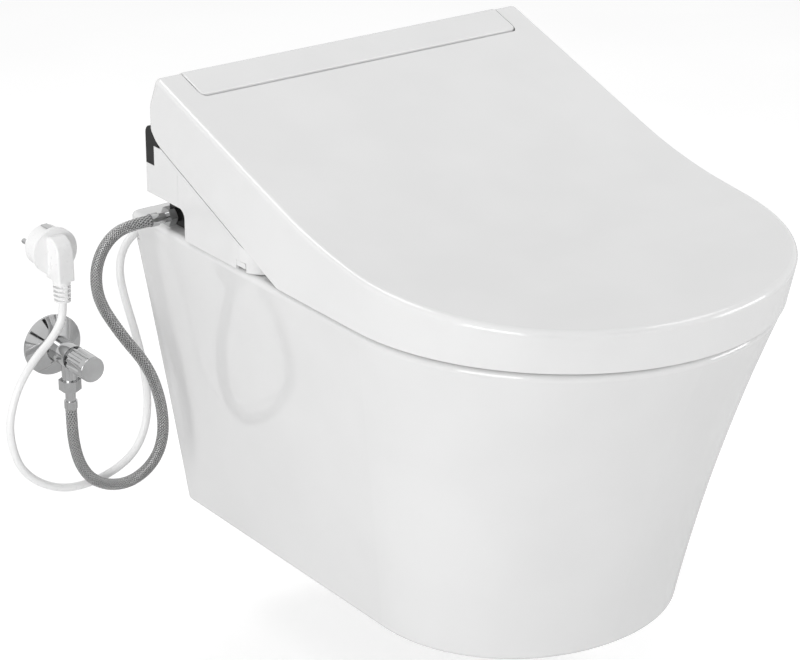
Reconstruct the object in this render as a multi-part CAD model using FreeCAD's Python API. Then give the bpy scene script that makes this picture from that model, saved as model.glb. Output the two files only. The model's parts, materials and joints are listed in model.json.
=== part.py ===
import FreeCAD, Part
import math
import os

V = FreeCAD.Vector
X = V(1, 0, 0)
Y = V(0, 1, 0)
Z = V(0, 0, 1)

# Millimetres. The wall is the plane y = 0, the front of the toilet faces -Y and +X is its right side
# for someone who faces it. Everything is drawn with the rim of the pan at height zero. Saving lifts
# it by BOLT_DROP, so that the origin lies on the wall, midway between the two wall bolts.

# Fits
RUNNING_GAP = 0.06
SEAM = 0.2
REST_GAP = 0.3
MOVING_GAP = 1.0

# Ceramic pan
PAN_WIDTH = 381.0
PAN_DEPTH = 547.0
PAN_SIDE = 350.0
PAN_HEIGHT = 293.0
PAN_WALL = 12.0
PAN_BACK = 16.0
PAN_DECK = 22.0
PAN_CORNER = 8.0
PAN_FULLNESS = 0.55
PAN_EASE = 5.0
FOOT_WIDTH = 279.0
FOOT_DEPTH = 446.0
FOOT_SIDE = 312.0
FOOT_EASE = 5.0
FOOT_FULLNESS = 0.575
WAIST_HEIGHT = 150.0
WAIST_WIDTH = 327.0
WAIST_DEPTH = 488.0
WAIST_SIDE = 330.0
WAIST_FULLNESS = 0.54
BOWL_REAR = 178.0
RIM_FRONT = 45.0
BOWL_WIDTH = 256.0
BOWL_HEIGHT = 214.0
BOWL_WALL = 11.0
TRAP_BORE = 28.0
TRAP_WALL = 9.0
OUTLET_DROP = 182.0
OUTLET_RADIUS = 51.0
OUTLET_WALL = 9.0
OUTLET_LENGTH = 60.0
OUTLET_CLEAR = 13.0
INLET_DROP = 47.0
INLET_RADIUS = 27.5
INLET_DEPTH = 60.0
INLET_WALL = 9.0
FLUSH_RADIUS = 18.0
BOLT_DROP = 82.0
BOLT_SPACING = 180.0
BOLT_HOLE = 11.0
CHANNEL_START = 113.0
CHANNEL_TURN = 150.0
CHANNEL_MOUTH = 18.0
CHANNEL_SILL = 21.0
CHANNEL_DEPTH = 10.5
CHANNEL_ROOF = 8.0
CHANNEL_FLOOR = 26.0

# Lid: side view, then plan
LID_WIDTH = 383.0
LID_DEPTH = 549.0
LID_SIDE = 350.0
LID_REAR = 42.5
LID_PEAK = 140.2
LID_SLOPE = 0.335
LID_BEND = 308.0
LID_BEND_RADIUS = 511.0
LID_FRONT_DROP = 14.22
LID_EDGE = 2.6
LID_FULLNESS = 0.635
LID_FOOT_FULLNESS = 0.55
LID_TAPER = 45.0
LID_ARM = 81.9
LID_ARM_SLOPE = 0.4056
LID_ARM_RADIUS = 30.0
LID_KNEE = 108.0
LID_KNEE_RADIUS = 22.0
LID_CROWN = 55.2
LID_CROWN_RADIUS = 6.0
LID_EASE = 5.0
LID_WALL = 4.0
HINGE_BACK = 62.0
HINGE_HEIGHT = 106.0
PIN_RADIUS = 6.0
PIN_LENGTH = 40.0
KNUCKLE = 12.0
LID_BOSS = 16.0
DAMPER_RADIUS = 9.0
LID_BUMPER = 7.0
LID_BUMPER_PLACES = ((80.0, 48.5), (148.0, 140.5))

# Seat ring
SEAT_GAP = 4.5
SEAT_REAR = 222.0
SEAT_BOTTOM = 8.0
SEAT_TOP = 30.0
SEAT_WALL = 5.0
SEAT_EASE = 10.0
SEAT_CORNER = 16.0
SEAT_HOLE_REAR = 245.0
SEAT_FRONT_BAR = 62.5
SEAT_HOLE_WIDTH = 216.0
SEAT_PLATE = 3.0
SEAT_SHEET = 0.6
SEAT_ARM = 12.0
SEAT_BUMPER = 9.0
SEAT_BUMPER_PLACES = ((150.0, 240.5), (118.0, 85.5))

# Housing of the seat unit
HOUSING_WIDTH = 382.4
HOUSING_REAR = 36.0
HOUSING_SEAM = 87.0
HOUSING_FRONT = 207.0
HOUSING_CORNER = 25.0
HOUSING_WALL = 2.8
HOUSING_FOOT = 1.0
HOUSING_TOP_GAP = 4.0
BROW_EASE = 12.0
CAVITY_HEIGHT = 28.0
CAVITY_FRONT = 96.5
CAVITY_RADIUS = 8.0
SHOULDER_GAP = 1.5
STRIP_WIDTH = 333.0
STRIP_FRONT = 90.6
STRIP_WALL = 3.2
STRIP_RISE = 0.8
STRIP_REACH = 34.4
STRIP_CORNER = 5.0
STRIP_EASE = 1.0
REAR_PANEL_BOTTOM = 55.0
REAR_PANEL_TOP = 89.4
REAR_PANEL_DEPTH = 13.5
REAR_PANEL_REACH = 56.0
REAR_PANEL_CORNER = 8.0
NOTCH_FRONT = 190.0
NOTCH_REAR = 176.5
NOTCH_HEIGHT = 9.0
NOTCH_DEPTH = 14.0
RELEASE_HEIGHT = 4.5
RELEASE_TRAVEL = 4.0
BUTTON_RADIUS = 5.0
BUTTON_HEIGHT = 20.0
BUTTON_PLACES = (118.0, 138.0)
BUTTON_PROUD = 1.6

# Fixing of the unit on the deck
PLATE_WIDTH = 220.0
PLATE_FRONT = 170.0
PLATE_REAR = 105.0
PLATE_WALL = 3.2
TRAY_WALL = 2.8
PLATE_BOLT_SPACING = 155.0
PLATE_BOLT_BACK = 135.0
PLATE_BOLT = 4.0
PLATE_BOLT_HEAD = 8.0
PLATE_BOLT_HEAD_HEIGHT = 5.0
PLATE_BOLT_LENGTH = 50.0
DECK_HOLE = 7.0
SLEEVE_LENGTH = 36.0
PLATE_NUT = 13.0
PLATE_NUT_HEIGHT = 8.0

# Spray nozzle and its drive, along an axis that slopes down towards the bowl
NOZZLE_SLOPE = 30.0
NOZZLE_EXIT_HEIGHT = 6.0
NOZZLE_RADIUS = 7.5
NOZZLE_TIP = 14.0
NOZZLE_SETBACK = 3.0
NOZZLE_TRAVEL = 90.0
RACK_SPARE = 8.0
SPRAY_HOLE = 1.2
RACK_WIDTH = 6.0
RACK_BODY = 2.2
TOOTH_HEIGHT = 2.0
PINION_RADIUS = 8.0
PINION_TEETH = 16
PINION_SHAFT = 2.5
PINION_BACK = 60.0
MOTOR_RADIUS = 13.0
MOTOR_LENGTH = 19.0
GUIDE_WIDTH = 28.0
GUIDE_WALL = 4.0
GUIDE_LENGTH = 26.0
GUIDE_BACK = 80.0

# Water, air and electrics inside the unit
HEATER_SIZE = (58.0, 58.0, 56.0)
HEATER_X = -122.0
HEATER_BACK = 135.0
HEATER_EASE = 8.0
SOLENOID_X = -125.0
SOLENOID_BACK = 66.0
SOLENOID_SIZE = (34.0, 24.0, 14.0)
COIL_RADIUS = 11.0
COIL_HEIGHT = 15.0
PIPE_RADIUS = 3.0
FAN_X = 122.0
FAN_BACK = 150.0
FAN_RADIUS = 34.0
FAN_HEIGHT = 30.0
FAN_WALL = 2.0
FAN_BLADES = 24
FAN_BLADE_WALL = 1.2
FAN_SHAFT = 2.0
FAN_HUB = 7.0
FILTER_SIZE = (44.0, 26.0, 24.0)
FILTER_X = 62.0
FILTER_BACK = 173.0
FILTER_GROOVE = (3.0, 30.0, 4.0)
BOARD_SIZE = (150.0, 34.0, 1.6)
BOARD_BACK = 66.0
BOARD_POST = 3.0
BOARD_STAND = 5.0
RELAY_SIZE = (16.0, 20.0, 15.0)
RELAY_PLACES = (-60.0, -36.0)
CAPACITOR_RADIUS = 5.0
CAPACITOR_HEIGHT = 18.0
CAPACITOR_PLACES = (-12.0, 4.0, 20.0)
CHIP_SIZE = (12.0, 12.0, 3.0)
CHIP_PLACES = (40.0, 60.0)
SUPPLY_SIZE = (44.0, 26.0, 26.0)
SUPPLY_X = 120.0

# Water inlet, hose and stop valve
INLET_BACK = 61.5
INLET_HEIGHT = 11.5
INLET_BLOCK = (36.0, 28.0)
INLET_BLOCK_LEFT = 176.0
INLET_STUB = 6.3
INLET_STUB_LENGTH = 10.0
INLET_NUT = 15.5
INLET_NUT_LENGTH = 7.0
TAIL_RADIUS = 4.6
TAIL_GRIP = 2.5
FERRULE_RADIUS = 5.9
FERRULE_LENGTH = 7.0
HOSE_RADIUS = 5.25
HOSE_BORE = 3.6
VALVE_X = -272.0
VALVE_DROP = 107.0
VALVE_OUTLET_BACK = 30.0
VALVE_RADIUS = 11.0
VALVE_FRONT = 40.0
VALVE_STUB = 6.8
VALVE_STUB_LENGTH = 30.0
VALVE_NUT = 17.2
VALVE_NUT_LENGTH = 9.5
GLAND_NUT = 17.0
GLAND_NUT_LENGTH = 4.5
SPINDLE_RADIUS = 4.0
SPINDLE_SEAT = 18.0
KNOB_RADIUS = 11.3
KNOB_LENGTH = 27.0
KNOB_FLUTES = 12
KNOB_FLUTE = 1.9
KNOB_CAP = 3.0
NIPPLE_RADIUS = 10.4
NIPPLE_LENGTH = 12.0
NIPPLE_SHANK = 9.6
ROSETTE_RADIUS = 27.5
ROSETTE_RIM = 2.5
ROSETTE_DEPTH = 13.0
ROSETTE_WALL = 1.4
VALVE_SCREW = 2.5
VALVE_SCREW_HEAD = 2.5
VALVE_SCREW_SINK = 1.0

# Mains lead and plug
CORD_RADIUS = 3.6
CORD_X = -110.0
CORD_HEIGHT = 13.5
GLAND_TIP = 70.0
GLAND_RADIUS = 5.6
GLAND_FLANGE = 7.0
GLAND_FLANGE_WALL = 2.0
PLUG_X = -270.5
PLUG_DROP = 17.0
PLUG_FACE = 9.0
PLUG_RADIUS = 21.0
PLUG_DISC = 4.0
PLUG_NOSE = 18.5
PLUG_NOSE_LENGTH = 17.0
PLUG_GRIP_WIDTH = 16.0
PLUG_GRIP_RISE = 15.0
PLUG_GRIP_DEPTH = 18.0
PLUG_GRIP_DROP = 23.0
PLUG_RELIEF = 7.9
PLUG_RELIEF_TIP = 7.4
PLUG_SLOTS = 4
PLUG_SLOT = 2.3
PLUG_SPINE = 1.5
PLUG_PIN = 2.4
PLUG_PIN_LENGTH = 19.0
PLUG_PIN_SPACING = 19.0
EARTH_CLIP_WIDTH = 6.0
EARTH_CLIP_WALL = 1.0

# Routes, from the fitting they start at: across, out from the wall, above the rim.
HOSE_ROUTE = (
    (-272, -30, -157), (-272, -30, -175), (-271, -31, -194), (-267, -33, -213), (-258, -36, -228),
    (-242, -39, -237), (-224, -42, -238), (-208, -45, -230), (-197, -48, -216), (-192, -50, -198),
    (-192, -51, -178), (-196, -52, -157), (-203, -53, -136), (-214, -54, -116), (-228, -55, -97),
    (-241, -56, -77), (-252, -57, -58), (-257.5, -58, -40), (-257.5, -59, -21), (-251, -60, -4.5),
    (-239.5, -61, 7), (-224.5, -61.5, 11.5), (-204.5, -61.5, 11.5))
CORD_ROUTE = (
    (-110, -70, 13.5), (-110, -56, 13.5), (-110, -41.3, 12.6), (-112.7, -27.5, 10.2), (-120.5, -15.8, 5.6),
    (-132.2, -8, -2.6), (-146, -5.3, -11), (-160, -5.1, -15.4), (-177, -5.2, -17.2), (-187.9, -6, -20.3),
    (-197.2, -7.6, -26.5), (-204, -9.6, -35.4), (-207.7, -11.8, -46), (-208.3, -14, -57.3),
    (-207, -16.3, -70), (-204, -19.3, -87), (-200, -21, -105), (-196, -22, -124), (-192, -22, -149),
    (-190, -22, -173),
    (-192, -22, -193), (-199, -23, -210), (-211, -24, -223), (-228, -25, -231), (-250, -27, -235),
    (-273, -28, -235), (-293, -28, -229), (-311, -28, -217), (-324, -28, -201), (-330, -28, -182),
    (-332, -28, -163), (-329, -28, -146), (-322, -27, -129), (-312, -26, -115), (-299, -24, -103),
    (-284, -22, -93), (-274, -21, -81), (-270.5, -21, -70), (-270.5, -21, -60))
TRAP_ROUTE = (
    (0, -335, -185), (0, -290, -238), (0, -235, -232), (0, -195, -140), (0, -140, -140),
    (0, -90, -182), (0, -40, -182))

HINGE = V(0, -HINGE_BACK, HINGE_HEIGHT)
LID_FRONT_SLOPE = LID_FRONT_DROP / (LID_DEPTH - LID_BEND)
SEAT_FRONT = LID_DEPTH - LID_WALL - SEAT_GAP
BOWL_FRONT = PAN_DEPTH - RIM_FRONT
NOZZLE_ANGLE = math.radians(NOZZLE_SLOPE)
NOZZLE_AXIS = V(0, -math.cos(NOZZLE_ANGLE), -math.sin(NOZZLE_ANGLE))
NOZZLE_UP = V(0, -math.sin(NOZZLE_ANGLE), math.cos(NOZZLE_ANGLE))
NOZZLE_EXIT = V(0, -HOUSING_FRONT, NOZZLE_EXIT_HEIGHT)
TRAY_TOP = PLATE_WALL + SEAM + TRAY_WALL
REAR_FLOOR = CAVITY_HEIGHT + HOUSING_WALL
VALVE_REAR = ROSETTE_DEPTH + SEAM
NOZZLE_LENGTH = PINION_BACK + NOZZLE_TRAVEL + RACK_SPARE


# Basic shapes

def box(x0, x1, y0, y1, z0, z1):
    return Part.makeBox(x1 - x0, y1 - y0, z1 - z0, V(x0, y0, z0))


def block_at(x, y, z, size):
    """A box that stands on height z, centred on x and y."""
    return box(x - size[0] / 2, x + size[0] / 2, y - size[1] / 2, y + size[1] / 2, z, z + size[2])


def rod(radius, start, direction, length):
    return Part.makeCylinder(radius, length, start, direction)


def ring(outer, inner, start, direction, length):
    return rod(outer, start, direction, length).cut(rod(inner, start, direction, length))


def hexagon(across_flats, start, direction, length):
    """A hexagonal bar along direction."""
    radius = across_flats / math.sqrt(3)
    angles = [math.radians(30 + 60 * step) for step in range(7)]
    outline = Part.makePolygon([V(radius * math.cos(a), radius * math.sin(a), 0) for a in angles])
    bar = Part.Face(outline).extrude(V(0, 0, length))
    bar.Placement = FreeCAD.Placement(start, FreeCAD.Rotation(Z, direction))
    return bar


def both_sides(shape):
    """The shape and its mirror image across the middle of the toilet."""
    return [shape, shape.mirror(V(0, 0, 0), X)]


def rounded_wire(corners):
    """A closed outline through (point, radius) corners, each eased by a tangent arc."""
    pieces = []
    count = len(corners)
    for index, (point, radius) in enumerate(corners):
        to_last = (corners[index - 1][0] - point).normalize()
        to_next = (corners[(index + 1) % count][0] - point).normalize()
        half = to_last.getAngle(to_next) / 2
        reach = radius / math.tan(half)
        middle = (to_last + to_next).normalize()
        crown = point + middle * (radius / math.sin(half) - radius)
        pieces.append((point + to_last * reach, crown, point + to_next * reach, radius))
    edges = []
    for index, (start, crown, end, radius) in enumerate(pieces):
        if radius > 0:
            edges.append(Part.Arc(start, crown, end).toShape())
        edges.append(Part.LineSegment(end, pieces[(index + 1) % count][0]).toShape())
    return Part.Wire(edges)


def side_prism(corners, half_width):
    """Extrude a side view, given as (y, z, radius) corners, to both sides of the middle."""
    wire = rounded_wire([(V(-half_width, y, z), radius) for y, z, radius in corners])
    return Part.Face(wire).extrude(X * (2 * half_width))


def d_outline(half_width, side, depth, height, fullness, back=0.0, corner=0.0):
    """Plan outline with straight sides from the wall and a rounded front, squarer with more fullness."""
    reach = fullness * (depth - side)
    spread = fullness * half_width
    tip = V(0, -depth, height)
    right = V(half_width, -back - corner, height)
    left = V(-half_width, -back - corner, height)
    right_front = V(half_width, -side, height)
    left_front = V(-half_width, -side, height)
    right_curve = Part.BezierCurve()
    right_curve.setPoles([right_front, right_front - Y * reach, tip + X * spread, tip])
    left_curve = Part.BezierCurve()
    left_curve.setPoles([tip, tip - X * spread, left_front - Y * reach, left_front])
    edges = [Part.LineSegment(right, right_front).toShape(), right_curve.toShape(),
             left_curve.toShape(), Part.LineSegment(left_front, left).toShape()]
    if corner > 0:
        slant = corner * (1 - math.sqrt(0.5))
        left_end = V(corner - half_width, -back, height)
        right_end = V(half_width - corner, -back, height)
        left_mid = V(slant - half_width, -back - slant, height)
        right_mid = V(half_width - slant, -back - slant, height)
        edges.append(Part.Arc(left, left_mid, left_end).toShape())
        edges.append(Part.LineSegment(left_end, right_end).toShape())
        edges.append(Part.Arc(right_end, right_mid, right).toShape())
    else:
        edges.append(Part.LineSegment(left, right).toShape())
    return Part.Wire(edges)


def oval(back, front, width, height):
    """A closed oval in plan, between a back and a front distance from the wall."""
    reach = (front - back) / 2
    half = width / 2
    curve = Part.Ellipse(V(0, 0, 0), max(reach, half), min(reach, half))
    wire = Part.Wire(curve.toShape())
    turn = 90 if reach > half else 0
    wire.Placement = FreeCAD.Placement(V(0, -(back + front) / 2, height), FreeCAD.Rotation(Z, turn))
    return wire


def route_wire(points, name=None):
    """Straight runs joined by tangent arcs, each as large as its two runs allow."""
    points = [V(*point) for point in points]
    edges = []
    radii = []
    start = points[0]
    for last, corner, following in zip(points, points[1:], points[2:]):
        to_last = last - corner
        to_next = following - corner
        reach = 0.45 * min(to_last.Length, to_next.Length)
        half = to_last.getAngle(to_next) / 2
        radius = reach * math.tan(half)
        radii.append(radius)
        to_last.normalize()
        to_next.normalize()
        middle = (to_last + to_next).normalize()
        begin = corner + to_last * reach
        crown = corner + middle * (radius / math.sin(half) - radius)
        end = corner + to_next * reach
        edges.append(Part.LineSegment(start, begin).toShape())
        edges.append(Part.Arc(begin, crown, end).toShape())
        start = end
    edges.append(Part.LineSegment(start, points[-1]).toShape())
    wire = Part.Wire(edges)
    if name:
        print(name, "length", round(wire.Length, 1), "radii", [round(radius) for radius in radii])
    return wire


def tube_along(points, radius, name=None):
    """A solid round tube along a route."""
    path = route_wire(points, name)
    begin = V(*points[0])
    circle = Part.Wire(Part.Circle(begin, V(*points[1]) - begin, radius).toShape())
    tube = path.makePipeShell([circle], True, False)
    if name:
        print(name, "volume", round(tube.Volume), "expected", round(math.pi * radius ** 2 * path.Length))
    return tube


def edges_where(shape, test):
    """The edges of a shape whose middle point passes a test."""
    chosen = []
    for edge in shape.Edges:
        middle = edge.valueAt((edge.FirstParameter + edge.LastParameter) / 2)
        if test(middle):
            chosen.append(edge)
    return chosen


def revolved(profile, origin, axis):
    """Turn a closed outline of (radius, distance along axis) points about the axis."""
    face = Part.Face(Part.makePolygon([V(radius, 0, along) for radius, along in profile + profile[:1]]))
    solid = face.revolve(V(0, 0, 0), Z, 360)
    solid.Placement = FreeCAD.Placement(origin, FreeCAD.Rotation(Z, axis))
    return solid


# Ceramic pan

def pan_sections(inset, top, bottom, back=0.0, corner=0.0):
    """Three plan outlines of the pan's skin: foot, waist and rim."""
    foot = d_outline(FOOT_WIDTH / 2 - inset, FOOT_SIDE, FOOT_DEPTH - inset, bottom,
                     FOOT_FULLNESS, back, corner)
    waist = d_outline(WAIST_WIDTH / 2 - inset, WAIST_SIDE, WAIST_DEPTH - inset, -WAIST_HEIGHT,
                      WAIST_FULLNESS, back, corner)
    rim = d_outline(PAN_WIDTH / 2 - inset, PAN_SIDE, PAN_DEPTH - inset, top, PAN_FULLNESS, back, corner)
    return [foot, waist, rim]


def pan_skin():
    skin = Part.makeLoft(pan_sections(0.0, 0.0, -PAN_HEIGHT, corner=PAN_CORNER), True, False)
    rim = edges_where(skin, lambda p: abs(p.z) < 0.1)
    skin = skin.makeFillet(PAN_EASE, rim)
    foot = edges_where(skin, lambda p: abs(p.z + PAN_HEIGHT) < 0.1 and p.y < -0.1)
    return skin.makeFillet(FOOT_EASE, foot)


def bowl(swell):
    """The bowl's hollow, or with swell the outside of its wall."""
    levels = ((2.0, 1.0, 0.0), (-0.16, 0.985, 0.0), (-0.42, 0.875, 2.0), (-0.70, 0.65, 8.0),
              (-0.91, 0.38, 20.0), (-1.0, 0.30, 24.0))
    middle = (BOWL_REAR + BOWL_FRONT) / 2
    half_length = (BOWL_FRONT - BOWL_REAR) / 2
    wires = []
    for level, share, shift in levels:
        height = level if level > 0 else level * BOWL_HEIGHT
        centre = middle - shift
        reach = half_length * share + swell
        drop = swell if level == -1.0 else 0.0
        wires.append(oval(centre - reach, centre + reach, BOWL_WIDTH * share + 2 * swell, height - drop))
    return Part.makeLoft(wires, True, False)


def cord_channel():
    """Groove in the pan's back that leads the mains lead from under the unit to the left side."""
    mouth = box(-CHANNEL_TURN, -CHANNEL_START, -CHANNEL_MOUTH, 1, -CHANNEL_SILL, 1)
    run = box(-PAN_WIDTH / 2 - 1, -CHANNEL_TURN + 1, -CHANNEL_DEPTH, 1, -CHANNEL_FLOOR, -CHANNEL_ROOF)
    return mouth.fuse(run)


def ceramic_pan():
    """Skirted shell with the bowl, its trap, the flush inlet and the waste outlet inside it."""
    outlet = V(0, 0, -OUTLET_DROP)
    inlet = V(0, 0, -INLET_DROP)
    back = -Y
    sections = pan_sections(PAN_WALL, -PAN_DECK, PAN_WALL - PAN_HEIGHT, back=PAN_BACK)
    inner = Part.makeLoft(sections, True, False)
    hollow = inner.cut(bowl(BOWL_WALL))
    hollow = hollow.cut(tube_along(TRAP_ROUTE, TRAP_BORE + TRAP_WALL))
    hollow = hollow.cut(rod(OUTLET_RADIUS, outlet, back, OUTLET_LENGTH))
    hollow = hollow.cut(rod(INLET_RADIUS + INLET_WALL, inlet, back, BOWL_REAR))
    pan = pan_skin().cut(hollow)
    pan = pan.cut(bowl(0.0))
    pan = pan.cut(tube_along(TRAP_ROUTE, TRAP_BORE))
    pan = pan.cut(rod(OUTLET_RADIUS - OUTLET_WALL, outlet, back, OUTLET_LENGTH - OUTLET_WALL))
    pan = pan.cut(ring(OUTLET_RADIUS + OUTLET_CLEAR, OUTLET_RADIUS, outlet, back, PAN_BACK))
    pan = pan.cut(rod(INLET_RADIUS, inlet, back, INLET_DEPTH))
    pan = pan.cut(rod(FLUSH_RADIUS, inlet, back, BOWL_REAR + BOWL_WALL))
    for bolt_x in (-BOLT_SPACING / 2, BOLT_SPACING / 2):
        pan = pan.cut(rod(BOLT_HOLE, V(bolt_x, 0, -BOLT_DROP), back, PAN_BACK))
    for bolt_x in (-PLATE_BOLT_SPACING / 2, PLATE_BOLT_SPACING / 2):
        pan = pan.cut(rod(DECK_HOLE, V(bolt_x, -PLATE_BOLT_BACK, 0), -Z, PAN_DECK))
    return pan.cut(cord_channel())


# Lid

def lid_top(out, inset=0.0):
    """Height of the lid's rear slope at a distance out from the wall."""
    return LID_PEAK - LID_SLOPE * (out - LID_REAR) - inset * math.hypot(1, LID_SLOPE)


def lid_arm_line(out, lower=0.0):
    """Height of the sloping lower edge of the lid's arms."""
    return LID_ARM - LID_ARM_SLOPE * (out - LID_REAR) - lower * math.hypot(1, LID_ARM_SLOPE)


def lid_rear(inset):
    """Side view corners of the lid's rear: the knee where it starts to lean, and the crown above."""
    lean = math.atan2(LID_CROWN - LID_REAR, lid_top(LID_CROWN) - LID_KNEE)
    knee = LID_KNEE - inset * math.tan(lean / 2)
    rise = lid_top(LID_REAR, inset) - LID_KNEE
    crown = LID_REAR + (math.sin(lean) * rise + inset) / (math.cos(lean) + LID_SLOPE * math.sin(lean))
    return [(-LID_REAR - inset, knee, LID_KNEE_RADIUS - inset),
            (-crown, lid_top(crown, inset), max(LID_CROWN_RADIUS - inset, 1.0))]


def lid_profile(inset):
    """Side view corners of the lid's top and rear, drawn inset from the skin, down to below the rim."""
    bend = lid_top(LID_BEND, inset)
    far = LID_DEPTH + LID_WALL
    low = -PAN_DECK
    front = [(-LID_BEND, bend, LID_BEND_RADIUS + inset),
             (-far, bend - LID_FRONT_SLOPE * (far - LID_BEND), 0), (-far, low, 0)]
    return [(-LID_REAR - inset, low, 0)] + lid_rear(inset) + front


def lid_fullness(height):
    """How square the lid's front is in plan at a height; its skirt tapers in towards the rim."""
    taper = (LID_FULLNESS - LID_FOOT_FULLNESS) / (LID_TAPER - LID_EDGE)
    return LID_FOOT_FULLNESS + taper * (height - LID_EDGE)


def lid_body(inset):
    """The lid's outer form, or its inner one when inset, before its lower edge is cut."""
    profile = side_prism(lid_profile(inset), LID_WIDTH / 2 + 1)
    outlines = []
    for height in (-PAN_DECK, LID_PEAK + 10):
        outlines.append(d_outline(LID_WIDTH / 2 - inset, LID_SIDE, LID_DEPTH - inset, height,
                                  lid_fullness(height), LID_REAR + inset))
    return Part.makeLoft(outlines, True, True).common(profile)


def below_lid(lower):
    """Everything under the lid's lower edge; lower moves that edge down."""
    kink = LID_REAR + (LID_ARM - LID_EDGE) / LID_ARM_SLOPE
    edge = LID_EDGE - lower
    far = LID_DEPTH + 50
    deep = -PAN_HEIGHT
    rear = LID_REAR - lower
    arm_radius = LID_ARM_RADIUS + lower
    corners = [(-far, deep, 0), (-far, edge, 0), (-kink, edge, 20.0),
               (-rear, lid_arm_line(rear, lower), arm_radius), (-rear, LID_PEAK + 60, 0),
               (100, LID_PEAK + 60, 0), (100, deep, 0)]
    return side_prism(corners, LID_WIDTH)


def lid():
    """Thin moulded shell with two arms that carry the hinge bosses."""
    outer = lid_body(0.0)
    skirt = LID_WIDTH / 2

    def on_top_edge(p):
        height = max(lid_top(-p.y), lid_top(LID_BEND) - LID_FRONT_SLOPE * (-p.y - LID_BEND))
        near_side = abs(p.x) > 1 or p.y < -LID_DEPTH + 1
        return near_side and abs(p.z - height) < 3.0 and p.y < -LID_CROWN

    outer = outer.makeFillet(LID_EASE, edges_where(outer, on_top_edge))
    shell = outer.cut(below_lid(0.0)).cut(lid_body(LID_WALL))
    strip_half = STRIP_WIDTH / 2 + MOVING_GAP
    reach = STRIP_REACH + MOVING_GAP
    notch = rod(reach, HINGE - X * strip_half, X, 2 * strip_half)
    ends = edges_where(notch, lambda p: abs(abs(p.x) - strip_half) < 0.1)
    notch = notch.makeFillet(STRIP_CORNER + MOVING_GAP, ends)
    shell = shell.cut(notch).cut(box(-strip_half, strip_half, -HINGE_BACK, 0, 0, LID_PEAK + 10))
    lane = strip_half + SEAT_ARM + MOVING_GAP
    shell = shell.cut(box(-lane, lane, -HINGE_BACK, 0, 0, HINGE_HEIGHT + PIN_RADIUS))
    boss_start = STRIP_WIDTH / 2 + MOVING_GAP + SEAT_ARM + MOVING_GAP
    boss = rod(LID_BOSS, HINGE + X * boss_start, X, skirt - LID_WALL / 2 - boss_start)
    bore = rod(PIN_RADIUS + RUNNING_GAP, HINGE + X * boss_start, X, skirt - LID_WALL - boss_start)
    for part in both_sides(boss):
        shell = shell.fuse(part)
    for part in both_sides(bore):
        shell = shell.cut(part)
    return shell.removeSplitter()


def lid_bumpers():
    """Soft stops under the lid that meet the top of the seat."""
    under = lid_body(LID_WALL)
    stops = []
    for across, back in LID_BUMPER_PLACES:
        post = rod(LID_BUMPER, V(across, back - SEAT_FRONT, SEAT_TOP + REST_GAP), Z, LID_PEAK)
        stops += both_sides(post.common(under))
    return Part.makeCompound(stops)


# Seat

def seat_form(inset, low, high):
    """The seat ring's plan, inset from its outer edge and from its hole."""
    half = LID_WIDTH / 2 - LID_WALL - SEAT_GAP - inset
    outline = d_outline(half, LID_SIDE, SEAT_FRONT - inset, low, LID_FOOT_FULLNESS,
                        SEAT_REAR + inset, SEAT_CORNER)
    form = Part.Face(outline).extrude(Z * (high - low))
    hole_front = SEAT_FRONT - SEAT_FRONT_BAR + inset
    hole = oval(SEAT_HOLE_REAR - inset, hole_front, SEAT_HOLE_WIDTH + 2 * inset, low - 1)
    return form.cut(Part.Face(hole).extrude(Z * (high - low + 2)))


def seat_shell():
    """Hollow ring with two arms up to the hinge."""
    form = seat_form(0.0, SEAT_BOTTOM, SEAT_TOP)
    form = form.makeFillet(SEAT_EASE, edges_where(form, lambda p: abs(p.z - SEAT_TOP) < 0.1))
    form = form.cut(seat_form(SEAT_WALL, SEAT_BOTTOM, SEAT_TOP - SEAT_WALL))
    start = STRIP_WIDTH / 2 + MOVING_GAP
    corners = [(-HINGE_BACK, HINGE_HEIGHT + KNUCKLE), (-HINGE_BACK, HINGE_HEIGHT - KNUCKLE),
               (-SEAT_REAR - 1, SEAT_BOTTOM + SEAT_WALL), (-SEAT_REAR - SEAT_WALL, SEAT_BOTTOM + SEAT_WALL),
               (-SEAT_REAR - SEAT_WALL, SEAT_TOP - SEAT_WALL), (-SEAT_REAR - SEAT_EASE - 8, SEAT_TOP - 1)]
    wire = rounded_wire([(V(start, y, z), 0) for y, z in corners])
    arm = Part.Face(wire).extrude(X * SEAT_ARM)
    arm = arm.fuse(rod(KNUCKLE, HINGE + X * start, X, SEAT_ARM))
    arm = arm.cut(rod(PIN_RADIUS + RUNNING_GAP, HINGE + X * start, X, SEAT_ARM))
    for part in both_sides(arm):
        form = form.fuse(part)
    return form.removeSplitter()


def seat_underplate():
    return seat_form(SEAT_WALL + SEAM, SEAT_BOTTOM, SEAT_BOTTOM + SEAT_PLATE)


def seat_heater():
    top = SEAT_TOP - SEAT_WALL - SEAM
    return seat_form(SEAT_WALL + MOVING_GAP, top - SEAT_SHEET, top)


def seat_bumpers():
    stops = []
    for across, back in SEAT_BUMPER_PLACES:
        foot = V(across, back - SEAT_FRONT, REST_GAP)
        stops += both_sides(rod(SEAT_BUMPER, foot, Z, SEAT_BOTTOM - REST_GAP))
    return Part.makeCompound(stops)


# Housing of the seat unit

def shoulder(out, inset=0.0):
    """Height of the housing's sloping shoulders, just under the lid's arms."""
    return lid_arm_line(out, SHOULDER_GAP + inset)


def tower(inset, low, rear, front, half_width):
    """The housing's middle block, whose top follows the lid; low, rear and front limit it."""
    profile = side_prism(lid_profile(inset), half_width)
    return profile.common(box(-half_width, half_width, -front, -rear, low, LID_PEAK + 20))


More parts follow.
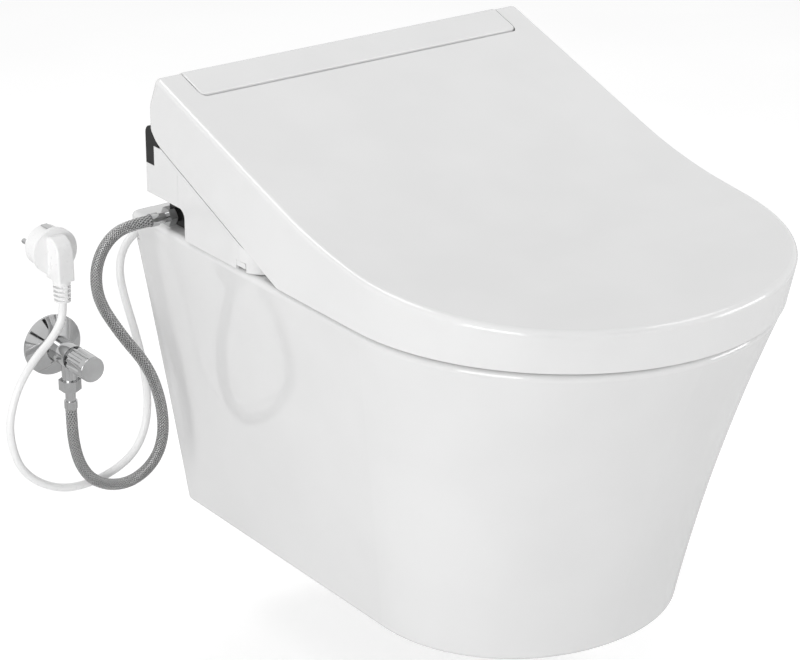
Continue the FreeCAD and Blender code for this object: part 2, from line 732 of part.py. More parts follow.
def front_shoulders(inset, low, rear):
    """Full-width lower part of the front housing, with rounded front corners in plan."""
    half = HOUSING_WIDTH / 2 - inset
    front = HOUSING_FRONT - inset
    cavity = CAVITY_FRONT + inset
    ceiling = CAVITY_HEIGHT + inset
    corners = [(-front, low, 0), (-front, shoulder(front, inset), 0), (-rear, shoulder(rear, inset), 0),
               (-rear, ceiling, 0), (-cavity, ceiling, CAVITY_RADIUS), (-cavity, low, 0)]
    form = side_prism(corners, half)
    ends = edges_where(form, lambda p: abs(p.y + front) < 0.1 and abs(abs(p.x) - half) < 0.1)
    return form.makeFillet(HOUSING_CORNER - inset, ends)


def nozzle_passage(radius):
    """The way through which the nozzle and its rack slide out of the housing."""
    start = NOZZLE_EXIT - NOZZLE_AXIS * PINION_BACK
    passage = rod(radius, start, NOZZLE_AXIS, 2 * PINION_BACK)
    under = RACK_BODY + TOOTH_HEIGHT + NOZZLE_RADIUS + 2 * MOVING_GAP
    slot = box(-RACK_WIDTH / 2 - MOVING_GAP, RACK_WIDTH / 2 + MOVING_GAP, 0, 2 * PINION_BACK, -under, 0)
    slot.Placement = FreeCAD.Placement(start, FreeCAD.Rotation(X, 180 + NOZZLE_SLOPE))
    slot = slot.mirror(start, NOZZLE_UP)
    return passage.fuse(slot)


def front_housing():
    """Moulded front cover, open below and at the seam with the rear cover."""
    half = STRIP_WIDTH / 2 - SEAM
    rear = HOUSING_SEAM + SEAM
    skin = LID_WALL + HOUSING_TOP_GAP
    form = front_shoulders(0.0, HOUSING_FOOT, rear)
    form = form.fuse(tower(skin, CAVITY_HEIGHT, rear, HOUSING_FRONT, half))
    front_edges = edges_where(form, lambda p: abs(p.y + HOUSING_FRONT) < 0.1 and abs(p.x) < 1)
    brow = [edge for edge in front_edges if edge.CenterOfMass.z > SEAT_TOP + SEAT_EASE]
    form = form.makeFillet(BROW_EASE, brow)
    wall = HOUSING_WALL
    form = form.cut(front_shoulders(wall, -wall, rear - wall))
    front = HOUSING_FRONT - wall
    form = form.cut(tower(skin + wall, CAVITY_HEIGHT + wall, rear - wall, front, half - wall))
    form = form.cut(tower(skin + wall, -wall, CAVITY_FRONT + wall, front, half - wall))
    form = form.cut(nozzle_passage(NOZZLE_RADIUS + MOVING_GAP))
    outside = HOUSING_WIDTH / 2
    form = form.cut(box(-outside - 1, -outside + NOTCH_DEPTH, -NOTCH_FRONT, -NOTCH_REAR, 0, NOTCH_HEIGHT))
    for back in BUTTON_PLACES:
        hole = V(outside, -back, BUTTON_HEIGHT)
        form = form.cut(rod(BUTTON_RADIUS + SEAM, hole, -X, 2 * HOUSING_WALL))
    gland = V(CORD_X, -CAVITY_FRONT - 2 * HOUSING_WALL, CORD_HEIGHT)
    return form.cut(rod(GLAND_RADIUS, gland, Y, 4 * HOUSING_WALL)).removeSplitter()


def lid_arm_foot():
    """Distance out from the wall where the straight lower edge of the lid's arms meets their round rear."""
    return LID_REAR + LID_ARM_RADIUS * (1 - LID_ARM_SLOPE / math.hypot(1, LID_ARM_SLOPE))


def rear_shoulders(inset, seam):
    """Full-width lower part of the rear housing, under the lid's arms, with a ledge for the rear panel."""
    panel = REAR_PANEL_BOTTOM - SEAM - inset
    rear = HOUSING_REAR + inset
    ledge = HOUSING_REAR + REAR_PANEL_DEPTH + inset
    foot = lid_arm_foot()
    top = shoulder(foot, inset)
    corners = [(-seam, CAVITY_HEIGHT + inset, 0), (-seam, shoulder(seam, inset), 0), (-foot, top, 0),
               (-ledge, top, 0), (-ledge, panel, 0), (-rear, panel, 0), (-rear, CAVITY_HEIGHT + inset, 0)]
    return side_prism(corners, HOUSING_WIDTH / 2 - inset)


def rear_tower(inset, seam):
    """Upper part of the rear housing, between the lid's arms, under the top cover and round the panel."""
    half = STRIP_WIDTH / 2 - SEAM - inset
    low = shoulder(HOUSING_SEAM) - 2 * HOUSING_WALL
    clear = SEAM + inset
    form = tower(STRIP_WALL + clear, low, 0, seam, half)
    return form.cut(box(-HOUSING_WIDTH, HOUSING_WIDTH, -REAR_PANEL_REACH - clear, 0, 0, REAR_PANEL_TOP + clear))


def rear_housing():
    """Moulded rear cover with the two hinge towers, open at the seam with the front cover."""
    form = rear_shoulders(0.0, HOUSING_SEAM).fuse(rear_tower(0.0, HOUSING_SEAM))
    open_seam = HOUSING_SEAM + HOUSING_WALL
    form = form.cut(rear_shoulders(HOUSING_WALL, open_seam))
    form = form.cut(rear_tower(HOUSING_WALL, open_seam))
    start = STRIP_WIDTH / 2 - SEAM - PIN_LENGTH / 2
    for hub in both_sides(rod(KNUCKLE, HINGE + X * start, X, PIN_LENGTH / 2)):
        form = form.fuse(hub)
    for hole in both_sides(rod(PIN_RADIUS, HINGE + X * (start - 1), X, PIN_LENGTH)):
        form = form.cut(hole)
    return form.removeSplitter()


def rear_panel():
    """Dark panel across the back, hollowed to clear the lid's arms."""
    front = HOUSING_REAR + REAR_PANEL_DEPTH - SEAM
    step = shoulder(lid_arm_foot()) + SEAM
    corners = [(-HOUSING_REAR, REAR_PANEL_BOTTOM, 0), (-HOUSING_REAR, REAR_PANEL_TOP, REAR_PANEL_CORNER),
               (-REAR_PANEL_REACH, REAR_PANEL_TOP, 0), (-REAR_PANEL_REACH, step, 0), (-front, step, 0),
               (-front, REAR_PANEL_BOTTOM, 0)]
    panel = side_prism(corners, HOUSING_WIDTH / 2 - SEAM)
    arm_out = LID_REAR + LID_ARM_RADIUS
    arm_centre = V(0, -arm_out, lid_arm_line(arm_out, -LID_ARM_RADIUS))
    return panel.cut(rod(LID_ARM_RADIUS + MOVING_GAP, arm_centre - X * HOUSING_WIDTH, X, 2 * HOUSING_WIDTH))


def top_cover():
    """Fixed cover strip between the lid's arms, wrapped over the top and down the back."""
    half = STRIP_WIDTH / 2
    low = REAR_PANEL_TOP + MOVING_GAP
    plan = box(-half, half, -STRIP_FRONT, 0, low, LID_PEAK + 20)
    plan = plan.makeFillet(STRIP_CORNER, edges_where(plan, lambda p: abs(p.y + STRIP_FRONT) < 0.1
                                                     and abs(abs(p.x) - half) < 0.1))
    form = side_prism(lid_profile(-STRIP_RISE), half + 1).common(plan)
    form = form.common(rod(STRIP_REACH, HINGE - X * half, X, STRIP_WIDTH))
    front_rim = edges_where(form, lambda p: p.y < -LID_CROWN and p.z > lid_top(-p.y) - 0.5)
    form = form.makeFillet(STRIP_EASE, front_rim)
    over_front = tower(LID_WALL + HOUSING_TOP_GAP - SEAM, 0, 0, STRIP_FRONT + 1, half + 1)
    over_rear = tower(STRIP_WALL, 0, 0, HOUSING_SEAM + SEAM, half + 1)
    return form.cut(over_front).cut(over_rear)


def hinge_pins():
    start = STRIP_WIDTH / 2 - SEAM - PIN_LENGTH / 2
    return Part.makeCompound(both_sides(rod(PIN_RADIUS, HINGE + X * start, X, PIN_LENGTH)))


def hinge_dampers():
    """Rotary dampers on the inner ends of the hinge pins."""
    end = STRIP_WIDTH / 2 - SEAM - PIN_LENGTH / 2
    body = rod(DAMPER_RADIUS, HINGE + X * (end - PIN_LENGTH / 2), X, PIN_LENGTH / 2)
    return Part.makeCompound(both_sides(body))


def release_button():
    """Push button in the notch on the left side; pressing it frees the unit from its plate."""
    outside = -HOUSING_WIDTH / 2
    top = NOTCH_HEIGHT - SEAM
    button = box(outside + SEAM, outside + NOTCH_DEPTH - RELEASE_TRAVEL - SEAM,
                 -NOTCH_FRONT + SEAM, -NOTCH_REAR - SEAM, top - RELEASE_HEIGHT, top)
    return button


def side_button(back):
    """Round push button on the right side of the unit."""
    stem = V(HOUSING_WIDTH / 2 + BUTTON_PROUD, -back, BUTTON_HEIGHT)
    button = rod(BUTTON_RADIUS, stem, -X, BUTTON_PROUD + 2 * HOUSING_WALL)
    return button.makeFillet(BUTTON_PROUD / 2, edges_where(button, lambda p: abs(p.x - stem.x) < 0.1))


# Fixing on the deck

def plate_bolt_points(height):
    half = PLATE_BOLT_SPACING / 2
    return [V(-half, -PLATE_BOLT_BACK, height), V(half, -PLATE_BOLT_BACK, height)]


def mounting_plate():
    plate = box(-PLATE_WIDTH / 2, PLATE_WIDTH / 2, -PLATE_FRONT, -PLATE_REAR, 0, PLATE_WALL)
    for point in plate_bolt_points(0):
        plate = plate.cut(rod(PLATE_BOLT + SEAM, point, Z, PLATE_WALL))
    return plate


def base_tray():
    """Floor of the unit, with openings over the plate's bolts and under the nozzle."""
    half = HOUSING_WIDTH / 2 - HOUSING_WALL - REST_GAP
    front = HOUSING_FRONT - HOUSING_WALL - REST_GAP
    rear = CAVITY_FRONT + HOUSING_WALL + REST_GAP
    low = PLATE_WALL + SEAM
    tray = box(-half, half, -front, -rear, low, TRAY_TOP)
    ends = edges_where(tray, lambda p: abs(p.y + front) < 0.1 and abs(p.z - low - TRAY_WALL / 2) < 0.1)
    tray = tray.makeFillet(HOUSING_CORNER - HOUSING_WALL, ends)
    for point in plate_bolt_points(low):
        tray = tray.cut(rod(PLATE_BOLT_HEAD + MOVING_GAP, point, Z, TRAY_WALL))
    tray = tray.cut(box(-GUIDE_WIDTH / 2, GUIDE_WIDTH / 2, -front, -NOTCH_REAR, low, TRAY_TOP))
    outside = -HOUSING_WIDTH / 2
    return tray.cut(box(outside, outside + NOTCH_DEPTH + MOVING_GAP, -NOTCH_FRONT - 1, -NOTCH_REAR + 1,
                        low, TRAY_TOP))


def plate_bolts():
    bolts = []
    for point in plate_bolt_points(PLATE_WALL):
        head = rod(PLATE_BOLT_HEAD, point, Z, PLATE_BOLT_HEAD_HEIGHT)
        bolts.append(head.fuse(rod(PLATE_BOLT, point, -Z, PLATE_BOLT_LENGTH)))
    return Part.makeCompound(bolts)


def bolt_sleeves():
    """Rubber sleeves in the deck's holes, swollen by the bolts."""
    points = plate_bolt_points(0)
    return Part.makeCompound([ring(DECK_HOLE - SEAM, PLATE_BOLT, p, -Z, SLEEVE_LENGTH) for p in points])


def bolt_nuts():
    nuts = []
    for point in plate_bolt_points(-SLEEVE_LENGTH):
        nut = hexagon(PLATE_NUT, point, -Z, PLATE_NUT_HEIGHT)
        nuts.append(nut.cut(rod(PLATE_BOLT, point, -Z, PLATE_NUT_HEIGHT)))
    return Part.makeCompound(nuts)


# Nozzle and its drive

def along_nozzle(back, up=0.0):
    """A point a distance back from the nozzle's exit, and up from its axis."""
    return NOZZLE_EXIT - NOZZLE_AXIS * back + NOZZLE_UP * up


def nozzle_wand():
    return rod(NOZZLE_RADIUS, along_nozzle(NOZZLE_LENGTH), NOZZLE_AXIS,
               NOZZLE_LENGTH - NOZZLE_TIP - NOZZLE_SETBACK)


def nozzle_tip():
    """Rounded end of the wand, with its spray holes facing up."""
    back = NOZZLE_SETBACK + NOZZLE_TIP
    tip = rod(NOZZLE_RADIUS, along_nozzle(back), NOZZLE_AXIS, NOZZLE_TIP)
    end = along_nozzle(NOZZLE_SETBACK)
    rim = edges_where(tip, lambda p: abs((p - end).dot(NOZZLE_AXIS)) < 0.1)
    tip = tip.makeFillet(NOZZLE_RADIUS / 2, rim)
    for share in (0.4, 0.55, 0.7):
        top = along_nozzle(NOZZLE_SETBACK + NOZZLE_TIP * share, NOZZLE_RADIUS)
        tip = tip.cut(rod(SPRAY_HOLE, top, -NOZZLE_UP, NOZZLE_RADIUS))
    return tip


def rack_pitch():
    return 2 * math.pi * PINION_RADIUS / PINION_TEETH


def rack_bottom():
    """Distance from the wand's axis down to the rack's tooth roots."""
    return NOZZLE_RADIUS + RACK_BODY


def nozzle_rack():
    """Toothed bar under the wand."""
    length = NOZZLE_LENGTH - NOZZLE_TIP - NOZZLE_SETBACK
    pitch = rack_pitch()
    bar = box(-RACK_WIDTH / 2, RACK_WIDTH / 2, 0, length, -rack_bottom(), 0)
    teeth = [bar]
    first = PINION_BACK - NOZZLE_SETBACK - NOZZLE_TIP
    lowest = -int(first / pitch)
    highest = int((length - first) / pitch)
    for step in range(lowest + 1, highest):
        middle = first + step * pitch
        root = 0.30 * pitch
        tip = 0.14 * pitch
        deep = rack_bottom() + TOOTH_HEIGHT
        side = -RACK_WIDTH / 2
        outline = [V(side, middle - root, -rack_bottom()), V(side, middle - tip, -deep),
                   V(side, middle + tip, -deep), V(side, middle + root, -rack_bottom())]
        teeth.append(Part.Face(Part.makePolygon(outline + outline[:1])).extrude(X * RACK_WIDTH))
    rack = teeth[0].multiFuse(teeth[1:])
    rack.Placement = FreeCAD.Placement(along_nozzle(NOZZLE_SETBACK + NOZZLE_TIP),
                                       FreeCAD.Rotation(X, NOZZLE_SLOPE))
    wand = rod(NOZZLE_RADIUS + SEAM / 2, along_nozzle(NOZZLE_LENGTH + 1), NOZZLE_AXIS, NOZZLE_LENGTH)
    return rack.cut(wand)


def pinion_centre():
    return along_nozzle(PINION_BACK, -rack_bottom() - TOOTH_HEIGHT / 2 - PINION_RADIUS)


def nozzle_pinion():
    """Drive gear that meshes with the rack, with its shaft into the motor."""
    pitch = rack_pitch()
    centre = pinion_centre()
    root = PINION_RADIUS - TOOTH_HEIGHT / 2 - SEAM
    gear = rod(root, V(-RACK_WIDTH / 2, 0, 0), X, RACK_WIDTH)
    tooth_root = 0.30 * pitch
    tooth_tip = 0.10 * pitch
    top = PINION_RADIUS + TOOTH_HEIGHT / 2 - SEAM
    outline = [V(-RACK_WIDTH / 2, -tooth_root, root - 0.5), V(-RACK_WIDTH / 2, -tooth_tip, top),
               V(-RACK_WIDTH / 2, tooth_tip, top), V(-RACK_WIDTH / 2, tooth_root, root - 0.5)]
    tooth = Part.Face(Part.makePolygon(outline + outline[:1])).extrude(X * RACK_WIDTH)
    teeth = []
    for step in range(PINION_TEETH):
        copy = tooth.copy()
        copy.rotate(V(0, 0, 0), X, 360 * (step + 0.5) / PINION_TEETH)
        teeth.append(copy)
    gear = gear.multiFuse(teeth)
    gear = gear.fuse(rod(PINION_SHAFT, V(RACK_WIDTH / 2, 0, 0), X, NOZZLE_RADIUS + MOTOR_LENGTH / 2))
    gear.Placement = FreeCAD.Placement(centre, FreeCAD.Rotation(X, NOZZLE_SLOPE))
    return gear


def nozzle_motor():
    """Small stepper motor beside the pinion, on a foot that stands on the tray."""
    centre = pinion_centre()
    face = V(NOZZLE_RADIUS + MOVING_GAP, centre.y, centre.z)
    motor = rod(MOTOR_RADIUS, face, X, MOTOR_LENGTH)
    foot = box(face.x, face.x + MOTOR_LENGTH, centre.y - MOTOR_RADIUS / 2, centre.y + MOTOR_RADIUS / 2,
               TRAY_TOP, centre.z)
    motor = motor.fuse(foot)
    return motor.cut(rod(PINION_SHAFT + RUNNING_GAP, face, X, MOTOR_LENGTH - MOVING_GAP)).removeSplitter()


def nozzle_guide():
    """Cradle that carries the wand, with a slot for the rack and two legs on the tray."""
    middle = along_nozzle(GUIDE_BACK + GUIDE_LENGTH)
    high = NOZZLE_RADIUS + GUIDE_WALL
    block = box(-GUIDE_WIDTH / 2, GUIDE_WIDTH / 2, -GUIDE_LENGTH, 0, -NOZZLE_RADIUS, high)
    block.Placement = FreeCAD.Placement(middle, FreeCAD.Rotation(X, NOZZLE_SLOPE))
    leg_back = along_nozzle(GUIDE_BACK + GUIDE_LENGTH / 2)
    inner = RACK_WIDTH / 2 + 2 * MOVING_GAP
    leg_front = leg_back.y - GUIDE_WALL
    leg_rear = leg_back.y + GUIDE_WALL
    leg = box(inner, GUIDE_WIDTH / 2, leg_front, leg_rear, TRAY_TOP, leg_back.z)
    for part in both_sides(leg):
        block = block.fuse(part)
    bore = rod(NOZZLE_RADIUS + RUNNING_GAP, along_nozzle(GUIDE_BACK + 2 * GUIDE_LENGTH), NOZZLE_AXIS,
               3 * GUIDE_LENGTH)
    slot = box(-inner, inner, -2 * GUIDE_LENGTH, GUIDE_LENGTH, -2 * high, 0)
    slot.Placement = FreeCAD.Placement(middle, FreeCAD.Rotation(X, NOZZLE_SLOPE))
    return block.cut(bore).cut(slot).removeSplitter()


# Water, air and electrics inside the unit

def water_heater():
    form = block_at(HEATER_X, -HEATER_BACK, TRAY_TOP, HEATER_SIZE)
    return form.makeFillet(HEATER_EASE, edges_where(form, lambda p: p.z > TRAY_TOP + 1))


def solenoid_valve():
    """Shut-off valve above the water inlet, with its coil on top."""
    form = block_at(SOLENOID_X, -SOLENOID_BACK, REAR_FLOOR, SOLENOID_SIZE)
    coil = V(SOLENOID_X, -SOLENOID_BACK, REAR_FLOOR + SOLENOID_SIZE[2])
    return form.fuse(rod(COIL_RADIUS, coil, Z, COIL_HEIGHT))


def water_pipe():
    """Short pipe from the solenoid valve to the heater."""
    start = V(SOLENOID_X, -SOLENOID_BACK - SOLENOID_SIZE[1] / 2, REAR_FLOOR + SOLENOID_SIZE[2] / 2)
    heater_rear = -HEATER_BACK + HEATER_SIZE[1] / 2
    return rod(PIPE_RADIUS, start, -Y, start.y - heater_rear)


def fan_housing():
    """Round blower case on the tray, open above, with a post for the impeller's shaft."""
    base = V(FAN_X, -FAN_BACK, TRAY_TOP)
    inside = V(FAN_X, -FAN_BACK, TRAY_TOP + FAN_WALL)
    case = rod(FAN_RADIUS, base, Z, FAN_HEIGHT).cut(rod(FAN_RADIUS - FAN_WALL, inside, Z, FAN_HEIGHT))
    case = case.cut(box(FAN_X - FAN_RADIUS - 1, FAN_X - FAN_RADIUS / 2, -FAN_BACK - 8, -FAN_BACK + 8,
                        inside.z, TRAY_TOP + FAN_HEIGHT - FAN_WALL))
    post = rod(FAN_HUB, inside, Z, FAN_HEIGHT / 4)
    return case.fuse(post).fuse(rod(FAN_SHAFT, inside, Z, FAN_HEIGHT - 2 * FAN_WALL))


def fan_impeller():
    """Drum of forward blades on a disc and hub."""
    bottom = TRAY_TOP + FAN_WALL + FAN_HEIGHT / 4 + REST_GAP
    top = TRAY_TOP + FAN_HEIGHT - FAN_WALL
    outer = FAN_RADIUS - FAN_WALL - 2 * MOVING_GAP
    inner = 0.75 * outer
    base = V(FAN_X, -FAN_BACK, bottom)
    drum = rod(outer, base, Z, FAN_WALL).fuse(rod(FAN_HUB, base, Z, top - bottom))
    blade = box(inner, outer - 0.3, -FAN_BLADE_WALL / 2, FAN_BLADE_WALL / 2, bottom + FAN_WALL / 2, top)
    blade.rotate(V(inner, 0, 0), Z, 20)
    blades = []
    for step in range(FAN_BLADES):
        copy = blade.copy()
        copy.rotate(V(0, 0, 0), Z, 360 * step / FAN_BLADES)
        copy.translate(V(FAN_X, -FAN_BACK, 0))
        blades.append(copy)
    drum = drum.multiFuse(blades)
    return drum.cut(rod(FAN_SHAFT + RUNNING_GAP, base, Z, top - bottom))


def odour_filter():
    """Ribbed filter cartridge beside the blower's inlet."""
    form = block_at(FILTER_X, -FILTER_BACK, TRAY_TOP, FILTER_SIZE)
    top = TRAY_TOP + FILTER_SIZE[2]
    for step in range(-2, 3):
        x = FILTER_X + step * FILTER_SIZE[0] / 5
        form = form.cut(block_at(x, -FILTER_BACK, top - FILTER_GROOVE[2], FILTER_GROOVE))
    return form


def control_board():
    """Circuit board on four posts over the floor of the rear housing."""
    board = block_at(0, -BOARD_BACK, REAR_FLOOR + BOARD_STAND, BOARD_SIZE)
    for across in (-1, 1):
        for out in (-1, 1):
            foot = V(across * (BOARD_SIZE[0] / 2 - 2 * BOARD_POST),
                     -BOARD_BACK + out * (BOARD_SIZE[1] / 2 - 2 * BOARD_POST), REAR_FLOOR)
            board = board.fuse(rod(BOARD_POST, foot, Z, BOARD_STAND))
    return board.removeSplitter()


def board_components():
    """Relays, capacitors and chips that stand on the board."""
    top = REAR_FLOOR + BOARD_STAND + BOARD_SIZE[2]
    pieces = []
    for across in RELAY_PLACES:
        pieces.append(block_at(across, -BOARD_BACK, top, RELAY_SIZE))
    for across in CAPACITOR_PLACES:
        pieces.append(rod(CAPACITOR_RADIUS, V(across, -BOARD_BACK, top), Z, CAPACITOR_HEIGHT))
    for across in CHIP_PLACES:
        pieces.append(block_at(across, -BOARD_BACK, top, CHIP_SIZE))
    return Part.makeCompound(pieces)


def power_supply():
    form = block_at(SUPPLY_X, -BOARD_BACK, REAR_FLOOR, SUPPLY_SIZE)
    return form.makeFillet(3.0, edges_where(form, lambda p: p.z > REAR_FLOOR + 1))


# Water inlet, hose and stop valve

def inlet_point(out):
    """A point on the inlet's axis, a distance out to the left of the inlet block."""
    return V(-INLET_BLOCK_LEFT - out, -INLET_BACK, INLET_HEIGHT)


def water_inlet():
    """Block under the raised rear of the unit, with the threaded stub that takes the hose."""
    left = -INLET_BLOCK_LEFT
    half = INLET_BLOCK[1] / 2
    right = left + INLET_BLOCK[0]
    form = box(left, right, -INLET_BACK - half, -INLET_BACK + half, HOUSING_FOOT, CAVITY_HEIGHT)
    stub = ring(INLET_STUB, HOSE_BORE, inlet_point(0), -X, INLET_STUB_LENGTH)
    return form.fuse(stub)


def inlet_nut():
    start = inlet_point(INLET_STUB_LENGTH - INLET_NUT_LENGTH + TAIL_GRIP)
    nut = hexagon(INLET_NUT, start, -X, INLET_NUT_LENGTH)
    nut = nut.cut(rod(INLET_STUB, start, -X, INLET_NUT_LENGTH - TAIL_GRIP))
    return nut.cut(rod(TAIL_RADIUS, start, -X, INLET_NUT_LENGTH))


def hose_tails():
    """Metal tails that the hose's two ends carry through the union nuts."""
    inlet_end = V(*HOSE_ROUTE[-1])
    inlet_seat = inlet_point(INLET_STUB_LENGTH)
    valve_seat = V(VALVE_X, -VALVE_OUTLET_BACK, -VALVE_DROP - VALVE_STUB_LENGTH)
    valve_end = V(*HOSE_ROUTE[0])
    tails = []
    for seat, end in ((inlet_seat, inlet_end), (valve_seat, valve_end)):
        axis = end - seat
        length = axis.Length - FERRULE_LENGTH
        tails.append(ring(TAIL_RADIUS, HOSE_BORE, seat, axis, length))
    return Part.makeCompound(tails)


def hose_ferrules():
    """Crimped sleeves where the braid ends."""
    sleeves = []
    for end, inward in ((V(*HOSE_ROUTE[-1]), X), (V(*HOSE_ROUTE[0]), Z)):
        sleeves.append(ring(FERRULE_RADIUS, HOSE_BORE, end, inward, FERRULE_LENGTH))
    return Part.makeCompound(sleeves)


def supply_hose():
    return tube_along(HOSE_ROUTE, HOSE_RADIUS, "hose").cut(tube_along(HOSE_ROUTE, HOSE_BORE))


def valve_point(out):
    """A point on the stop valve's axis, a distance out from the wall."""
    return V(VALVE_X, -out, -VALVE_DROP)


def valve_body():
    """Angle body with a bore for the spindle and a stub down to the hose."""
    body = rod(VALVE_RADIUS, valve_point(VALVE_REAR), -Y, VALVE_FRONT - VALVE_REAR)
    body = body.fuse(rod(VALVE_STUB, valve_point(VALVE_OUTLET_BACK), -Z, VALVE_STUB_LENGTH))
    body = body.cut(rod(SPINDLE_RADIUS + RUNNING_GAP, valve_point(SPINDLE_SEAT), -Y, VALVE_FRONT))
    body = body.cut(rod(HOSE_BORE, valve_point(VALVE_OUTLET_BACK), -Z, VALVE_STUB_LENGTH))
    return body.cut(valve_screw()).removeSplitter()


def valve_gland_nut():
    start = valve_point(VALVE_FRONT)
    nut = hexagon(GLAND_NUT, start, -Y, GLAND_NUT_LENGTH)
    return nut.cut(rod(SPINDLE_RADIUS + RUNNING_GAP, start, -Y, GLAND_NUT_LENGTH))


def valve_spindle():
    start = SPINDLE_SEAT + REST_GAP
    end = VALVE_FRONT + GLAND_NUT_LENGTH + REST_GAP + KNOB_LENGTH - KNOB_CAP
    return rod(SPINDLE_RADIUS, valve_point(start), -Y, end - start)


def valve_knob():
    """Fluted handwheel with a plain rounded end."""
    start = VALVE_FRONT + GLAND_NUT_LENGTH + REST_GAP
    knob = rod(KNOB_RADIUS, valve_point(start), -Y, KNOB_LENGTH)
    end = edges_where(knob, lambda p: abs(p.y + start + KNOB_LENGTH) < 0.1)
    knob = knob.makeFillet(KNOB_FLUTE / 2, end)
    for step in range(KNOB_FLUTES):
        angle = 2 * math.pi * step / KNOB_FLUTES
        reach = KNOB_RADIUS + KNOB_FLUTE / 3
        groove = valve_point(start) + V(reach * math.cos(angle), 0, reach * math.sin(angle))
        knob = knob.cut(rod(KNOB_FLUTE, groove, -Y, KNOB_LENGTH - 2 * KNOB_CAP))
    return knob.cut(rod(SPINDLE_RADIUS, valve_point(start), -Y, KNOB_LENGTH - KNOB_CAP))


def valve_nut():
    start = V(VALVE_X, -VALVE_OUTLET_BACK, -VALVE_DROP - VALVE_STUB_LENGTH - TAIL_GRIP)
    nut = hexagon(VALVE_NUT, start, Z, VALVE_NUT_LENGTH)
    nut = nut.cut(rod(TAIL_RADIUS, start, Z, VALVE_NUT_LENGTH))
    return nut.cut(rod(VALVE_STUB, start + Z * TAIL_GRIP, Z, VALVE_NUT_LENGTH))


def wall_nipple():
    """Threaded tail of the valve that goes into the wall, on a slimmer shank through the rosette."""
    thread = ring(NIPPLE_RADIUS, SPINDLE_RADIUS, valve_point(-NIPPLE_LENGTH), -Y, NIPPLE_LENGTH - MOVING_GAP)
    shank = ring(NIPPLE_SHANK, SPINDLE_RADIUS, valve_point(-MOVING_GAP), -Y, VALVE_REAR + MOVING_GAP)
    return thread.fuse(shank)


def wall_rosette():
    """Conical cover plate round the valve's tail."""
    hole = NIPPLE_RADIUS + SEAM
    profile = [(ROSETTE_RADIUS, 0), (ROSETTE_RADIUS, ROSETTE_RIM), (hole + ROSETTE_WALL, ROSETTE_DEPTH),
               (hole, ROSETTE_DEPTH), (hole, ROSETTE_DEPTH - ROSETTE_WALL),
               (ROSETTE_RADIUS - 2 * ROSETTE_WALL, ROSETTE_RIM - ROSETTE_WALL / 2),
               (ROSETTE_RADIUS - 2 * ROSETTE_WALL, 0)]
    return revolved(profile, valve_point(0), -Y)


def valve_screw():
    """Small screw let into the side of the valve body."""
    start = valve_point(VALVE_OUTLET_BACK) - X * (VALVE_RADIUS - VALVE_SCREW_SINK)
    return rod(VALVE_SCREW, start, -X, VALVE_SCREW_SINK + VALVE_SCREW_HEAD)


# Mains lead and plug

def cord_gland():
    """Tapered strain relief in the wall of the rear cavity, flanged on the inside."""
    wall_inside = CAVITY_FRONT + HOUSING_WALL
    start = V(CORD_X, -wall_inside - GLAND_FLANGE_WALL, CORD_HEIGHT)
    form = rod(GLAND_FLANGE, start, Y, GLAND_FLANGE_WALL)
    form = form.fuse(rod(GLAND_RADIUS, start, Y, GLAND_FLANGE_WALL + HOUSING_WALL + 1))
    taper = V(CORD_X, -CAVITY_FRONT + 1, CORD_HEIGHT)
    length = CAVITY_FRONT - 1 - GLAND_TIP
    form = form.fuse(Part.makeCone(GLAND_RADIUS, CORD_RADIUS + 0.8, length, taper, Y))
    return form.removeSplitter()


def power_cord():
    return tube_along(CORD_ROUTE, CORD_RADIUS, "cord")


def plug_body():
    """Round mains plug whose grip turns down into a slotted strain relief."""
    face = V(PLUG_X, -PLUG_FACE, -PLUG_DROP)
    form = rod(PLUG_RADIUS, face, -Y, PLUG_DISC).fuse(rod(PLUG_NOSE, face, Y, PLUG_NOSE_LENGTH))
    front = -PLUG_FACE - PLUG_DISC - PLUG_GRIP_DEPTH
    half = PLUG_GRIP_WIDTH / 2
    foot = -PLUG_DROP - PLUG_GRIP_DROP
    grip = box(PLUG_X - half, PLUG_X + half, front, -PLUG_FACE, foot, -PLUG_DROP + PLUG_GRIP_RISE)
    top = -PLUG_DROP + PLUG_GRIP_RISE
    crown = edges_where(grip, lambda p: abs(p.y - front) < 0.1 and abs(p.z - top) < 0.1)
    grip = grip.makeFillet(PLUG_GRIP_DEPTH * 0.8, crown)
    sides = edges_where(grip, lambda p: p.y < front + 0.1 and abs(abs(p.x - PLUG_X) - half) < 0.1)
    form = form.fuse(grip.makeFillet(2.0, sides))
    form = form.fuse(plug_relief(foot))
    return form.removeSplitter()


def plug_relief(top):
    """Tapered strain relief with rows of slots, open to both sides of a spine."""
    end = V(*CORD_ROUTE[-1])
    length = top - end.z
    relief = Part.makeCone(PLUG_RELIEF, PLUG_RELIEF_TIP, length, V(end.x, end.y, top), -Z)
    spine = box(end.x - PLUG_SPINE, end.x + PLUG_SPINE, end.y - length, end.y + length, end.z, top)
    for step in range(PLUG_SLOTS):
        row = V(end.x, end.y, top - (step + 1) * length / (PLUG_SLOTS + 1))
        slot = ring(2 * PLUG_RELIEF, CORD_RADIUS + MOVING_GAP, row, -Z, PLUG_SLOT)
        relief = relief.cut(slot.cut(spine))
    return relief


def plug_pins():
    pins = []
    for side in (-1, 1):
        start = V(PLUG_X + side * PLUG_PIN_SPACING / 2, PLUG_NOSE_LENGTH - PLUG_FACE, -PLUG_DROP)
        pin = rod(PLUG_PIN, start, Y, PLUG_PIN_LENGTH)
        tip = edges_where(pin, lambda p: abs(p.y - start.y - PLUG_PIN_LENGTH) < 0.1)
        pins.append(pin.makeFillet(PLUG_PIN * 0.6, tip))
    return Part.makeCompound(pins)


